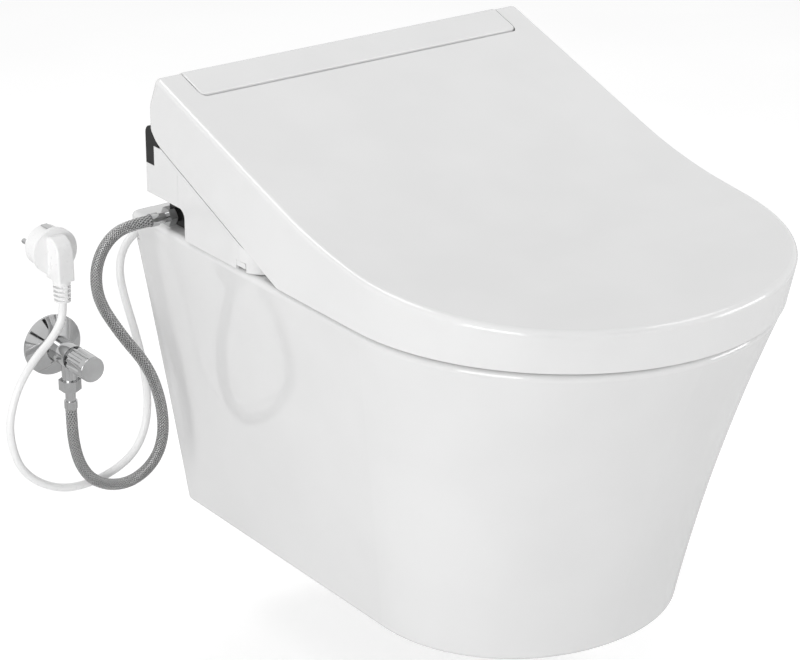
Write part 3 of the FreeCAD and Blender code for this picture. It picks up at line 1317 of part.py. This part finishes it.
def plug_earth_clips():
    """Earth contacts on the top and bottom of the plug's nose."""
    clips = []
    half = EARTH_CLIP_WIDTH / 2
    end = PLUG_NOSE_LENGTH - PLUG_FACE - 2
    for side in (-1, 1):
        height = -PLUG_DROP + side * PLUG_NOSE
        low = min(height, height + side * EARTH_CLIP_WALL)
        clips.append(box(PLUG_X - half, PLUG_X + half, -PLUG_FACE + 1, end, low, low + EARTH_CLIP_WALL))
    return Part.makeCompound(clips)


PIECES = {
    "ceramic_pan": ceramic_pan,
    "lid": lid,
    "lid_bumpers": lid_bumpers,
    "seat_shell": seat_shell,
    "seat_underplate": seat_underplate,
    "seat_heater": seat_heater,
    "seat_bumpers": seat_bumpers,
    "front_housing": front_housing,
    "rear_housing": rear_housing,
    "rear_panel": rear_panel,
    "top_cover": top_cover,
    "hinge_pins": hinge_pins,
    "hinge_dampers": hinge_dampers,
    "release_button": release_button,
    "side_button_front": lambda: side_button(BUTTON_PLACES[1]),
    "side_button_rear": lambda: side_button(BUTTON_PLACES[0]),
    "mounting_plate": mounting_plate,
    "base_tray": base_tray,
    "plate_bolts": plate_bolts,
    "bolt_sleeves": bolt_sleeves,
    "bolt_nuts": bolt_nuts,
    "nozzle_wand": nozzle_wand,
    "nozzle_tip": nozzle_tip,
    "nozzle_rack": nozzle_rack,
    "nozzle_pinion": nozzle_pinion,
    "nozzle_motor": nozzle_motor,
    "nozzle_guide": nozzle_guide,
    "water_heater": water_heater,
    "solenoid_valve": solenoid_valve,
    "water_pipe": water_pipe,
    "fan_housing": fan_housing,
    "fan_impeller": fan_impeller,
    "odour_filter": odour_filter,
    "control_board": control_board,
    "board_components": board_components,
    "power_supply": power_supply,
    "water_inlet": water_inlet,
    "inlet_nut": inlet_nut,
    "hose_tails": hose_tails,
    "hose_ferrules": hose_ferrules,
    "supply_hose": supply_hose,
    "valve_body": valve_body,
    "valve_gland_nut": valve_gland_nut,
    "valve_spindle": valve_spindle,
    "valve_knob": valve_knob,
    "valve_nut": valve_nut,
    "wall_nipple": wall_nipple,
    "wall_rosette": wall_rosette,
    "valve_screw": valve_screw,
    "cord_gland": cord_gland,
    "power_cord": power_cord,
    "plug_body": plug_body,
    "plug_pins": plug_pins,
    "plug_earth_clips": plug_earth_clips,
}


def main():
    os.makedirs("parts", exist_ok=True)
    for name, make in PIECES.items():
        shape = make()
        shape.translate(Z * BOLT_DROP)
        shape.exportStep(os.path.join("parts", name + ".step"))


main()
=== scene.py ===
"""Looks of a wall-hung bidet toilet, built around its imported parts.

Camera, braided hose, mains lead, materials, floor and studio light, in metres in the parts' own frame.
"""

import json
import math

import bmesh
import bpy
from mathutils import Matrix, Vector


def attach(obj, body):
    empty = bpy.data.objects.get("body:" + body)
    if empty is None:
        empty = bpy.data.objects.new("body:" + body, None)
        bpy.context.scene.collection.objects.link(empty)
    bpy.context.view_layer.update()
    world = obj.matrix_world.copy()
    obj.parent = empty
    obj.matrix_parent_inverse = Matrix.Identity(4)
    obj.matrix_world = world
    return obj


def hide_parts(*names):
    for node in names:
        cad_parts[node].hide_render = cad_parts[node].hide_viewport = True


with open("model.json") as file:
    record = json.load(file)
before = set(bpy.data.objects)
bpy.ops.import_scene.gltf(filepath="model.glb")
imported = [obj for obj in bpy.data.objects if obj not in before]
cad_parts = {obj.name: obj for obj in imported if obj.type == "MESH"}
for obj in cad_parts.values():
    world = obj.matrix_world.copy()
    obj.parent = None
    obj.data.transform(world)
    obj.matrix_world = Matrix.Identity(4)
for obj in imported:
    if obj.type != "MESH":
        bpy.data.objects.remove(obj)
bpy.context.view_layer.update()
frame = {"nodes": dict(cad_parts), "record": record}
nodes = frame["nodes"]

ROOT = "pan_and_unit"

CAMERA_PLACE = (-1.38118, -2.06253, 0.94797)
CAMERA_TARGET = (0.0072, -0.1331, -0.0347)
CAMERA_LENS = 129.706
SENSOR_WIDTH = 36

FLOOR_LEVEL = -0.318
FLOOR_SIZE = 30.0
FLOOR_LIFT = 0.42        # light added to the floor for the camera alone

ROOM_LIGHT = 0.53        # strength of the pale room on the object
ROOM_WHITE = 1.0         # strength of the room that the camera and reflections see
VALVE = (-0.27, 0, -0.02)
# name, place, target, width, height, watts
SOFTBOXES = (
    ("key_left", (-3.1, -1.7, 0.5), (0, -0.3, 0), 1.8, 1.8, 54),
    ("fill_right", (2.7, -2.3, 0.4), (0, -0.3, -0.05), 1.6, 1.3, 34),
    ("edge_left", (-0.84, 0.77, 1.9), (0, -0.2, 0.15), 1.2, 0.7, 10),
    ("edge_right", (1.19, -0.84, 1.92), (0, -0.5, 0.1), 1.2, 0.7, 7))
# name, place, width, height; each faces the valve
FLAGS = (
    ("flag_high", (0.21, -2.0, 1.46), 0.7, 1.2),
    ("flag_low", (-1.24, -2.06, 0.37), 0.4, 0.9),
    ("flag_floor", (-0.66, -0.6, -0.26), 0.16, 0.3))

HOSE_STEPS = 28
HOSE_ROUTE = (
    (-0.272, -0.030, -0.075), (-0.272, -0.030, -0.093), (-0.271, -0.031, -0.112), (-0.267, -0.033, -0.131),
    (-0.258, -0.036, -0.146), (-0.242, -0.039, -0.155), (-0.224, -0.042, -0.156), (-0.208, -0.045, -0.148),
    (-0.197, -0.048, -0.134), (-0.192, -0.050, -0.116), (-0.192, -0.051, -0.096), (-0.196, -0.052, -0.075),
    (-0.203, -0.053, -0.054), (-0.214, -0.054, -0.034), (-0.228, -0.055, -0.015), (-0.241, -0.056, 0.005),
    (-0.252, -0.057, 0.024), (-0.2575, -0.058, 0.042), (-0.2575, -0.059, 0.061), (-0.251, -0.060, 0.0775),
    (-0.2395, -0.061, 0.089), (-0.2245, -0.0615, 0.0935), (-0.2045, -0.0615, 0.0935))

CORD_DIAMETER = 0.0072
CORD_STEPS = 16
CORD_ROUNDNESS = 6
CORD_ROUTE = (
    (-0.110, -0.070, 0.0955), (-0.110, -0.056, 0.0955), (-0.110, -0.0413, 0.0946),
    (-0.1127, -0.0275, 0.0922), (-0.1205, -0.0158, 0.0876), (-0.1322, -0.008, 0.0794),
    (-0.146, -0.0053, 0.071), (-0.160, -0.0051, 0.0666), (-0.177, -0.0052, 0.0648),
    (-0.1879, -0.006, 0.0617), (-0.1972, -0.0076, 0.0555), (-0.204, -0.0096, 0.0466),
    (-0.2077, -0.0118, 0.036), (-0.2083, -0.014, 0.0247), (-0.207, -0.0163, 0.012),
    (-0.204, -0.0193, -0.005), (-0.200, -0.021, -0.023), (-0.196, -0.022, -0.042), (-0.192, -0.022, -0.067),
    (-0.190, -0.022, -0.091), (-0.192, -0.022, -0.111), (-0.199, -0.023, -0.128), (-0.211, -0.024, -0.141),
    (-0.228, -0.025, -0.149), (-0.250, -0.027, -0.153), (-0.273, -0.028, -0.153), (-0.293, -0.028, -0.147),
    (-0.311, -0.028, -0.135), (-0.324, -0.028, -0.119), (-0.330, -0.028, -0.100), (-0.332, -0.028, -0.081),
    (-0.329, -0.028, -0.064), (-0.322, -0.027, -0.047), (-0.312, -0.026, -0.033), (-0.299, -0.024, -0.021),
    (-0.284, -0.022, -0.011), (-0.274, -0.021, 0.001), (-0.2705, -0.021, 0.012), (-0.2705, -0.021, 0.022))

BRAID_STRANDS = 12       # in each direction
BRAID_CORE = 0.00465     # radius of the rubber core
BRAID_MIDDLE = 0.00495   # mean radius of the strands
BRAID_WEAVE = 0.00014    # how far a strand goes over and under that radius
BRAID_THICKNESS = 0.00032
BRAID_WIDTH = 0.0016
CORE_SIDES = 24

TEXTURE_RANGE = (0.3, 0.7)    # the part of a texture's values that is spread over a range
BLEND_RANGE = (0.35, 0.65)    # the part that blends one colour into another


def new_object(name, data):
    """A new object in the scene's collection."""
    made = bpy.data.objects.new(name, data)
    bpy.context.scene.collection.objects.link(made)
    return made


def flat_mesh(name, size, segments):
    """A flat square mesh about its own middle."""
    shape = bmesh.new()
    bmesh.ops.create_grid(shape, x_segments=segments, y_segments=segments, size=size / 2)
    mesh = bpy.data.meshes.new(name)
    shape.to_mesh(mesh)
    shape.free()
    return mesh


def route_curve(name, route, steps):
    """A smooth open spline that has the route's points as its control points."""
    curve = bpy.data.curves.new(name, "CURVE")
    curve.dimensions = "3D"
    curve.resolution_u = steps
    spline = curve.splines.new("NURBS")
    spline.points.add(len(route) - 1)
    for point, place in zip(spline.points, route):
        point.co = (*place, 1)
    spline.order_u = 3
    spline.use_endpoint_u = True
    return curve


def spline_points(name, route, steps):
    """The points that the route's spline passes through."""
    line = new_object(name, route_curve(name, route, steps))
    bpy.context.view_layer.update()
    shape = bpy.data.meshes.new_from_object(line.evaluated_get(bpy.context.evaluated_depsgraph_get()))
    points = [vertex.co.copy() for vertex in shape.vertices]
    bpy.data.meshes.remove(shape)
    bpy.data.objects.remove(line)
    return points


def frames_along(points):
    """For each point, two directions across the line that turn as little as they can."""
    frames = []
    across = None
    for index in range(len(points)):
        ahead = points[min(index + 1, len(points) - 1)] - points[max(index - 1, 0)]
        ahead.normalize()
        if across is None:
            across = ahead.orthogonal()
        across = (across - ahead * across.dot(ahead)).normalized()
        frames.append((across.copy(), ahead.cross(across)))
    return frames


def add_tube(shape, rings, part):
    """Joins rings of the same count of points into a closed tube with capped ends."""
    made = [[shape.verts.new(place) for place in ring] for ring in rings]
    count = len(made[0])
    for first, second in zip(made, made[1:]):
        for index in range(count):
            following = (index + 1) % count
            face = shape.faces.new((first[index], first[following], second[following], second[index]))
            face.material_index = part
            face.smooth = True
    for cap in (made[0][::-1], made[-1]):
        shape.faces.new(cap).material_index = part


def braided_hose(name, points):
    """A rubber core in a woven cover of flat strands, half of them turning each way."""
    shape = bmesh.new()
    frames = frames_along(points)

    def place(index, angle, radius):
        across, up = frames[index]
        return points[index] + (across * math.cos(angle) + up * math.sin(angle)) * radius

    core_angles = [2 * math.pi * side / CORE_SIDES for side in range(CORE_SIDES)]
    add_tube(shape, [[place(i, a, BRAID_CORE) for a in core_angles] for i in range(len(points))], 0)
    half_width = BRAID_WIDTH / 2 / BRAID_MIDDLE
    half_thickness = BRAID_THICKNESS / 2
    turn_per_step = math.pi / 2 / BRAID_STRANDS
    for turn in (1, -1):
        for strand in range(BRAID_STRANDS):
            rings = []
            for index in range(len(points)):
                angle = 2 * math.pi * strand / BRAID_STRANDS + turn * turn_per_step * index
                radius = BRAID_MIDDLE + turn * BRAID_WEAVE * math.cos(math.pi * index / 2)
                rings.append((place(index, angle - half_width, radius - half_thickness / 2),
                              place(index, angle, radius - half_thickness),
                              place(index, angle + half_width, radius - half_thickness / 2),
                              place(index, angle, radius + half_thickness)))
            add_tube(shape, rings, 1)
    bmesh.ops.recalc_face_normals(shape, faces=shape.faces)
    mesh = bpy.data.meshes.new(name)
    shape.to_mesh(mesh)
    shape.free()
    return new_object(name, mesh)


class Surface:
    """A material of nodes, with the texture in the part's own metres."""

    def __init__(self, name):
        self.material = bpy.data.materials.new(name)
        self.material.use_nodes = True
        self.tree = self.material.node_tree
        self.shader = self.tree.nodes["Principled BSDF"]
        self.coordinates = self.add("ShaderNodeTexCoord").outputs["Object"]

    def add(self, kind, **values):
        """A node of that kind, with some of its sockets or settings set."""
        node = self.tree.nodes.new(kind)
        for key, value in values.items():
            if key in node.inputs:
                node.inputs[key].default_value = value
            else:
                setattr(node, key, value)
        return node

    def link(self, source, target):
        self.tree.links.new(source, target)

    def set(self, **values):
        """Sets the shader's own sockets, with underscores for the spaces in their names."""
        for key, value in values.items():
            self.shader.inputs[key.replace("_", " ")].default_value = value

    def noise(self, scale, detail=3.0, stretch=None):
        """A cloudy texture with that many lumps to the metre."""
        texture = self.add("ShaderNodeTexNoise", Scale=scale, Detail=detail)
        source = self.coordinates
        if stretch:
            mapping = self.add("ShaderNodeMapping", Scale=stretch)
            self.link(source, mapping.inputs["Vector"])
            source = mapping.outputs["Vector"]
        self.link(source, texture.inputs["Vector"])
        return texture.outputs["Fac"]

    def between(self, factor, low, high):
        """Spreads a texture's middle range over low to high."""
        node = self.add("ShaderNodeMapRange")
        node.inputs["From Min"].default_value = TEXTURE_RANGE[0]
        node.inputs["From Max"].default_value = TEXTURE_RANGE[1]
        node.inputs["To Min"].default_value = low
        node.inputs["To Max"].default_value = high
        self.link(factor, node.inputs["Value"])
        return node.outputs["Result"]

    def colours(self, factor, low, high):
        """Blends two colours by a texture."""
        ramp = self.add("ShaderNodeValToRGB")
        for element, place, colour in zip(ramp.color_ramp.elements, BLEND_RANGE, (low, high)):
            element.position = place
            element.color = (*colour, 1)
        self.link(factor, ramp.inputs["Fac"])
        self.link(ramp.outputs["Color"], self.shader.inputs["Base Color"])

    def rough(self, factor, low, high):
        self.link(self.between(factor, low, high), self.shader.inputs["Roughness"])

    def bump(self, *layers):
        """Bumps laid one over the other, each a texture and its height in metres."""
        normal = None
        for factor, height in layers:
            node = self.add("ShaderNodeBump", Strength=1.0, Distance=height)
            self.link(factor, node.inputs["Height"])
            if normal:
                self.link(normal, node.inputs["Normal"])
            normal = node.outputs["Normal"]
        self.link(normal, self.shader.inputs["Normal"])


def grey(value, tint=0.0):
    """A grey, a little bluer where tint is above zero."""
    return (value * (1 - tint), value, value * (1 + tint))


def glazed_ceramic():
    """White glaze over clay: deep gloss, a slow ripple and slightly uneven thickness."""
    surface = Surface("glazed_ceramic_look")
    surface.colours(surface.noise(9, 2), grey(0.775), grey(0.80))
    surface.rough(surface.noise(60, 2), 0.055, 0.085)
    surface.bump((surface.noise(16, 1), 0.00035), (surface.noise(110, 2), 0.000012))
    surface.set(IOR=1.5, Coat_Weight=0.15, Coat_Roughness=0.03)
    return surface.material


def white_gloss():
    """Polished white moulding: gloss with the faint orange peel of the mould."""
    surface = Surface("white_gloss_look")
    surface.colours(surface.noise(14, 2), grey(0.785), grey(0.805))
    surface.rough(surface.noise(90, 3), 0.10, 0.15)
    surface.bump((surface.noise(12, 1), 0.00015), (surface.noise(420, 2), 0.0000035))
    surface.set(IOR=1.49, Coat_Weight=0.15, Coat_Roughness=0.05)
    return surface.material


def satin_plastic(name, low, high, rough, grain, ior=1.48):
    """Moulded plastic between two greys, with a fine spark-eroded grain of that height in metres."""
    surface = Surface(name)
    surface.colours(surface.noise(60, 4), grey(low), grey(high))
    surface.rough(surface.noise(300, 3), *rough)
    surface.bump((surface.noise(2200, 2), grain), (surface.noise(35, 2), 0.00008))
    surface.set(IOR=ior)
    return surface.material


def soft_rubber():
    """Pale soft rubber with a dusty bloom."""
    surface = Surface("soft_rubber_look")
    surface.colours(surface.noise(130, 5), grey(0.60), grey(0.68))
    surface.rough(surface.noise(220, 3), 0.62, 0.8)
    surface.bump((surface.noise(1800, 3), 0.00002))
    return surface.material


def heater_film():
    """Amber film over the bands of a printed heating track."""
    surface = Surface("heater_film_look")
    bands = surface.add("ShaderNodeTexWave", Scale=55.0, Distortion=1.5, Detail=1.0)
    surface.link(surface.coordinates, bands.inputs["Vector"])
    surface.colours(bands.outputs["Fac"], (0.40, 0.19, 0.05), (0.62, 0.34, 0.12))
    surface.rough(surface.noise(200, 2), 0.25, 0.4)
    surface.bump((bands.outputs["Fac"], 0.00005))
    return surface.material


def clear_pipe():
    """Milky silicone pipe."""
    surface = Surface("clear_pipe_look")
    surface.colours(surface.noise(80, 3), (0.66, 0.69, 0.70), (0.74, 0.76, 0.76))
    surface.rough(surface.noise(150, 2), 0.28, 0.42)
    surface.bump((surface.noise(900, 2), 0.00001))
    surface.set(Subsurface_Weight=0.3, Subsurface_Scale=0.004)
    return surface.material


def board_green():
    """Green solder lacquer over faint copper tracks."""
    surface = Surface("board_green_look")
    tracks = surface.add("ShaderNodeTexBrick", Scale=130.0)
    tracks.inputs["Color1"].default_value = (0, 0, 0, 1)
    tracks.inputs["Color2"].default_value = (0.3, 0.3, 0.3, 1)
    tracks.inputs["Mortar"].default_value = (1, 1, 1, 1)
    surface.link(surface.coordinates, tracks.inputs["Vector"])
    surface.colours(tracks.outputs["Color"], (0.015, 0.12, 0.04), (0.05, 0.26, 0.10))
    surface.rough(surface.noise(300, 2), 0.25, 0.35)
    surface.bump((tracks.outputs["Color"], 0.00004))
    return surface.material


def chrome():
    """Bright plating with faint water marks."""
    surface = Surface("chrome_look")
    surface.colours(surface.noise(70, 4), grey(0.47, 0.005), grey(0.53, 0.005))
    surface.rough(surface.noise(160, 5), 0.045, 0.10)
    surface.bump((surface.noise(240, 2), 0.000006))
    surface.set(Metallic=1.0)
    return surface.material


def steel():
    """Turned steel with fine lines across it."""
    surface = Surface("steel_look")
    lines = surface.noise(60, 4, (1, 30, 30))
    surface.colours(lines, grey(0.42), grey(0.55))
    surface.rough(lines, 0.25, 0.42)
    surface.bump((lines, 0.00001))
    surface.set(Metallic=1.0)
    return surface.material


def braid_wire():
    """Bright fine wires laid side by side in each strand."""
    surface = Surface("braid_wire_look")
    surface.colours(surface.noise(900, 3), grey(0.39), grey(0.58))
    surface.rough(surface.noise(1400, 2), 0.26, 0.45)
    surface.bump((surface.noise(2600, 2), 0.00004))
    surface.set(Metallic=1.0)
    return surface.material


def hose_core():
    """Dark rubber seen between the strands."""
    surface = Surface("hose_core_look")
    surface.colours(surface.noise(400, 3), grey(0.03), grey(0.07))
    surface.rough(surface.noise(700, 2), 0.5, 0.7)
    surface.bump((surface.noise(1500, 2), 0.00002))
    return surface.material


LOOKS = {
    "glazed_ceramic": glazed_ceramic(),
    "white_gloss": white_gloss(),
    "dark_plastic": satin_plastic("dark_plastic_look", 0.014, 0.02, rough=(0.36, 0.46), grain=0.00001,
                                  ior=1.32),
    "grey_plastic": satin_plastic("grey_plastic_look", 0.40, 0.45, rough=(0.36, 0.48), grain=0.00001),
    "white_plastic": satin_plastic("white_plastic_look", 0.90, 0.92, rough=(0.26, 0.36), grain=0.000006),
    "soft_rubber": soft_rubber(),
    "heater_film": heater_film(),
    "clear_pipe": clear_pipe(),
    "board_green": board_green(),
    "chrome": chrome(),
    "steel": steel(),
}


def dress_nodes():
    """Gives each carried-over part the look of its material slot; the hose has its own."""
    for part in frame["record"]["subparts"]:
        look = LOOKS.get(part["material_slot"])
        if look:
            data = nodes[part["node"]].data
            data.materials.clear()
            data.materials.append(look)


def make_hose():
    """The braided supply hose from the stop valve up to the unit's inlet."""
    points = spline_points("hose_line", HOSE_ROUTE, HOSE_STEPS)
    hose = braided_hose("braided_hose", points)
    hose.data.materials.append(hose_core())
    hose.data.materials.append(braid_wire())
    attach(hose, ROOT)
    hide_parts("supply_hose")


def make_cord():
    """The white mains lead from the unit's gland to its plug."""
    curve = route_curve("mains_cord", CORD_ROUTE, CORD_STEPS)
    curve.bevel_depth = CORD_DIAMETER / 2
    curve.bevel_resolution = CORD_ROUNDNESS
    curve.use_fill_caps = True
    cord = new_object("mains_cord", curve)
    curve.materials.append(LOOKS["white_plastic"])
    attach(cord, ROOT)
    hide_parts("power_cord")


def aim(item, place, target):
    """Puts a camera, lamp or card at a place, facing a target."""
    item.location = place
    ahead = Vector(target) - Vector(place)
    item.rotation_euler = ahead.to_track_quat("-Z", "Y").to_euler()


def make_camera():
    """The photograph's viewing place and angle."""
    data = bpy.data.cameras.new("camera")
    data.sensor_fit = "HORIZONTAL"
    data.sensor_width = SENSOR_WIDTH
    data.lens = CAMERA_LENS
    camera = new_object("camera", data)
    aim(camera, CAMERA_PLACE, CAMERA_TARGET)
    bpy.context.scene.camera = camera


def softbox(name, place, target, width, height, power):
    """A rectangular studio lamp aimed at a point."""
    data = bpy.data.lights.new(name, "AREA")
    data.shape = "RECTANGLE"
    data.size = width
    data.size_y = height
    data.energy = power
    aim(new_object(name, data), place, target)


def flag(name, place, width, height):
    """A dark studio card that only polished surfaces show, so that metal has something to reflect."""
    mesh = flat_mesh(name, 1.0, 1)
    card = new_object(name, mesh)
    card.scale = (width, height, 1)
    aim(card, place, VALVE)
    surface = Surface(name + "_look")
    surface.colours(surface.noise(4, 2), grey(0.02), grey(0.03))
    surface.set(Roughness=0.9, Specular_IOR_Level=0.0)
    mesh.materials.append(surface.material)
    card.visible_camera = False
    card.visible_diffuse = False
    card.visible_shadow = False


def make_floor():
    """A plain pale floor, lifted to white for the camera but still holding the part's shadow."""
    mesh = flat_mesh("floor", FLOOR_SIZE, 2)
    floor = new_object("floor", mesh)
    floor.location = (0, 0, FLOOR_LEVEL)
    surface = Surface("floor_look")
    surface.colours(surface.noise(3, 2), grey(0.80), grey(0.82))
    surface.set(Roughness=0.9, Specular_IOR_Level=0.0)
    path = surface.add("ShaderNodeLightPath")
    glow = surface.add("ShaderNodeEmission")
    lift = surface.add("ShaderNodeMath", operation="MULTIPLY")
    lift.inputs[1].default_value = FLOOR_LIFT
    total = surface.add("ShaderNodeAddShader")
    surface.link(path.outputs["Is Camera Ray"], lift.inputs[0])
    surface.link(lift.outputs["Value"], glow.inputs["Strength"])
    surface.link(surface.shader.outputs["BSDF"], total.inputs[0])
    surface.link(glow.outputs["Emission"], total.inputs[1])
    surface.link(total.outputs["Shader"], surface.tree.nodes["Material Output"].inputs["Surface"])
    mesh.materials.append(surface.material)


def make_world():
    """A pale room that lights the object softly, and that the camera and reflections see as white."""
    world = bpy.data.worlds.new("studio")
    world.use_nodes = True
    bpy.context.scene.world = world
    tree = world.node_tree
    link = tree.links.new
    room = tree.nodes["Background"]
    white = tree.nodes.new("ShaderNodeBackground")
    for background, strength in ((room, ROOM_LIGHT), (white, ROOM_WHITE)):
        background.inputs["Color"].default_value = (1, 1, 1, 1)
        background.inputs["Strength"].default_value = strength
    path = tree.nodes.new("ShaderNodeLightPath")
    sharp = tree.nodes.new("ShaderNodeMath")
    seen = tree.nodes.new("ShaderNodeMath")
    for either in (sharp, seen):
        either.operation = "MAXIMUM"
    choice = tree.nodes.new("ShaderNodeMixShader")
    link(path.outputs["Is Glossy Ray"], sharp.inputs[0])
    link(path.outputs["Is Transmission Ray"], sharp.inputs[1])
    link(path.outputs["Is Camera Ray"], seen.inputs[0])
    link(sharp.outputs["Value"], seen.inputs[1])
    link(seen.outputs["Value"], choice.inputs["Fac"])
    link(room.outputs["Background"], choice.inputs[1])
    link(white.outputs["Background"], choice.inputs[2])
    link(choice.outputs["Shader"], tree.nodes["World Output"].inputs["Surface"])


def make_lamps():
    """The softboxes, and the dark cards that the plated pieces reflect."""
    for lamp in SOFTBOXES:
        softbox(*lamp)
    for card in FLAGS:
        flag(*card)


dress_nodes()
make_hose()
make_cord()
make_camera()
make_floor()
make_world()
make_lamps()
bpy.context.scene.view_settings.view_transform = "Standard"
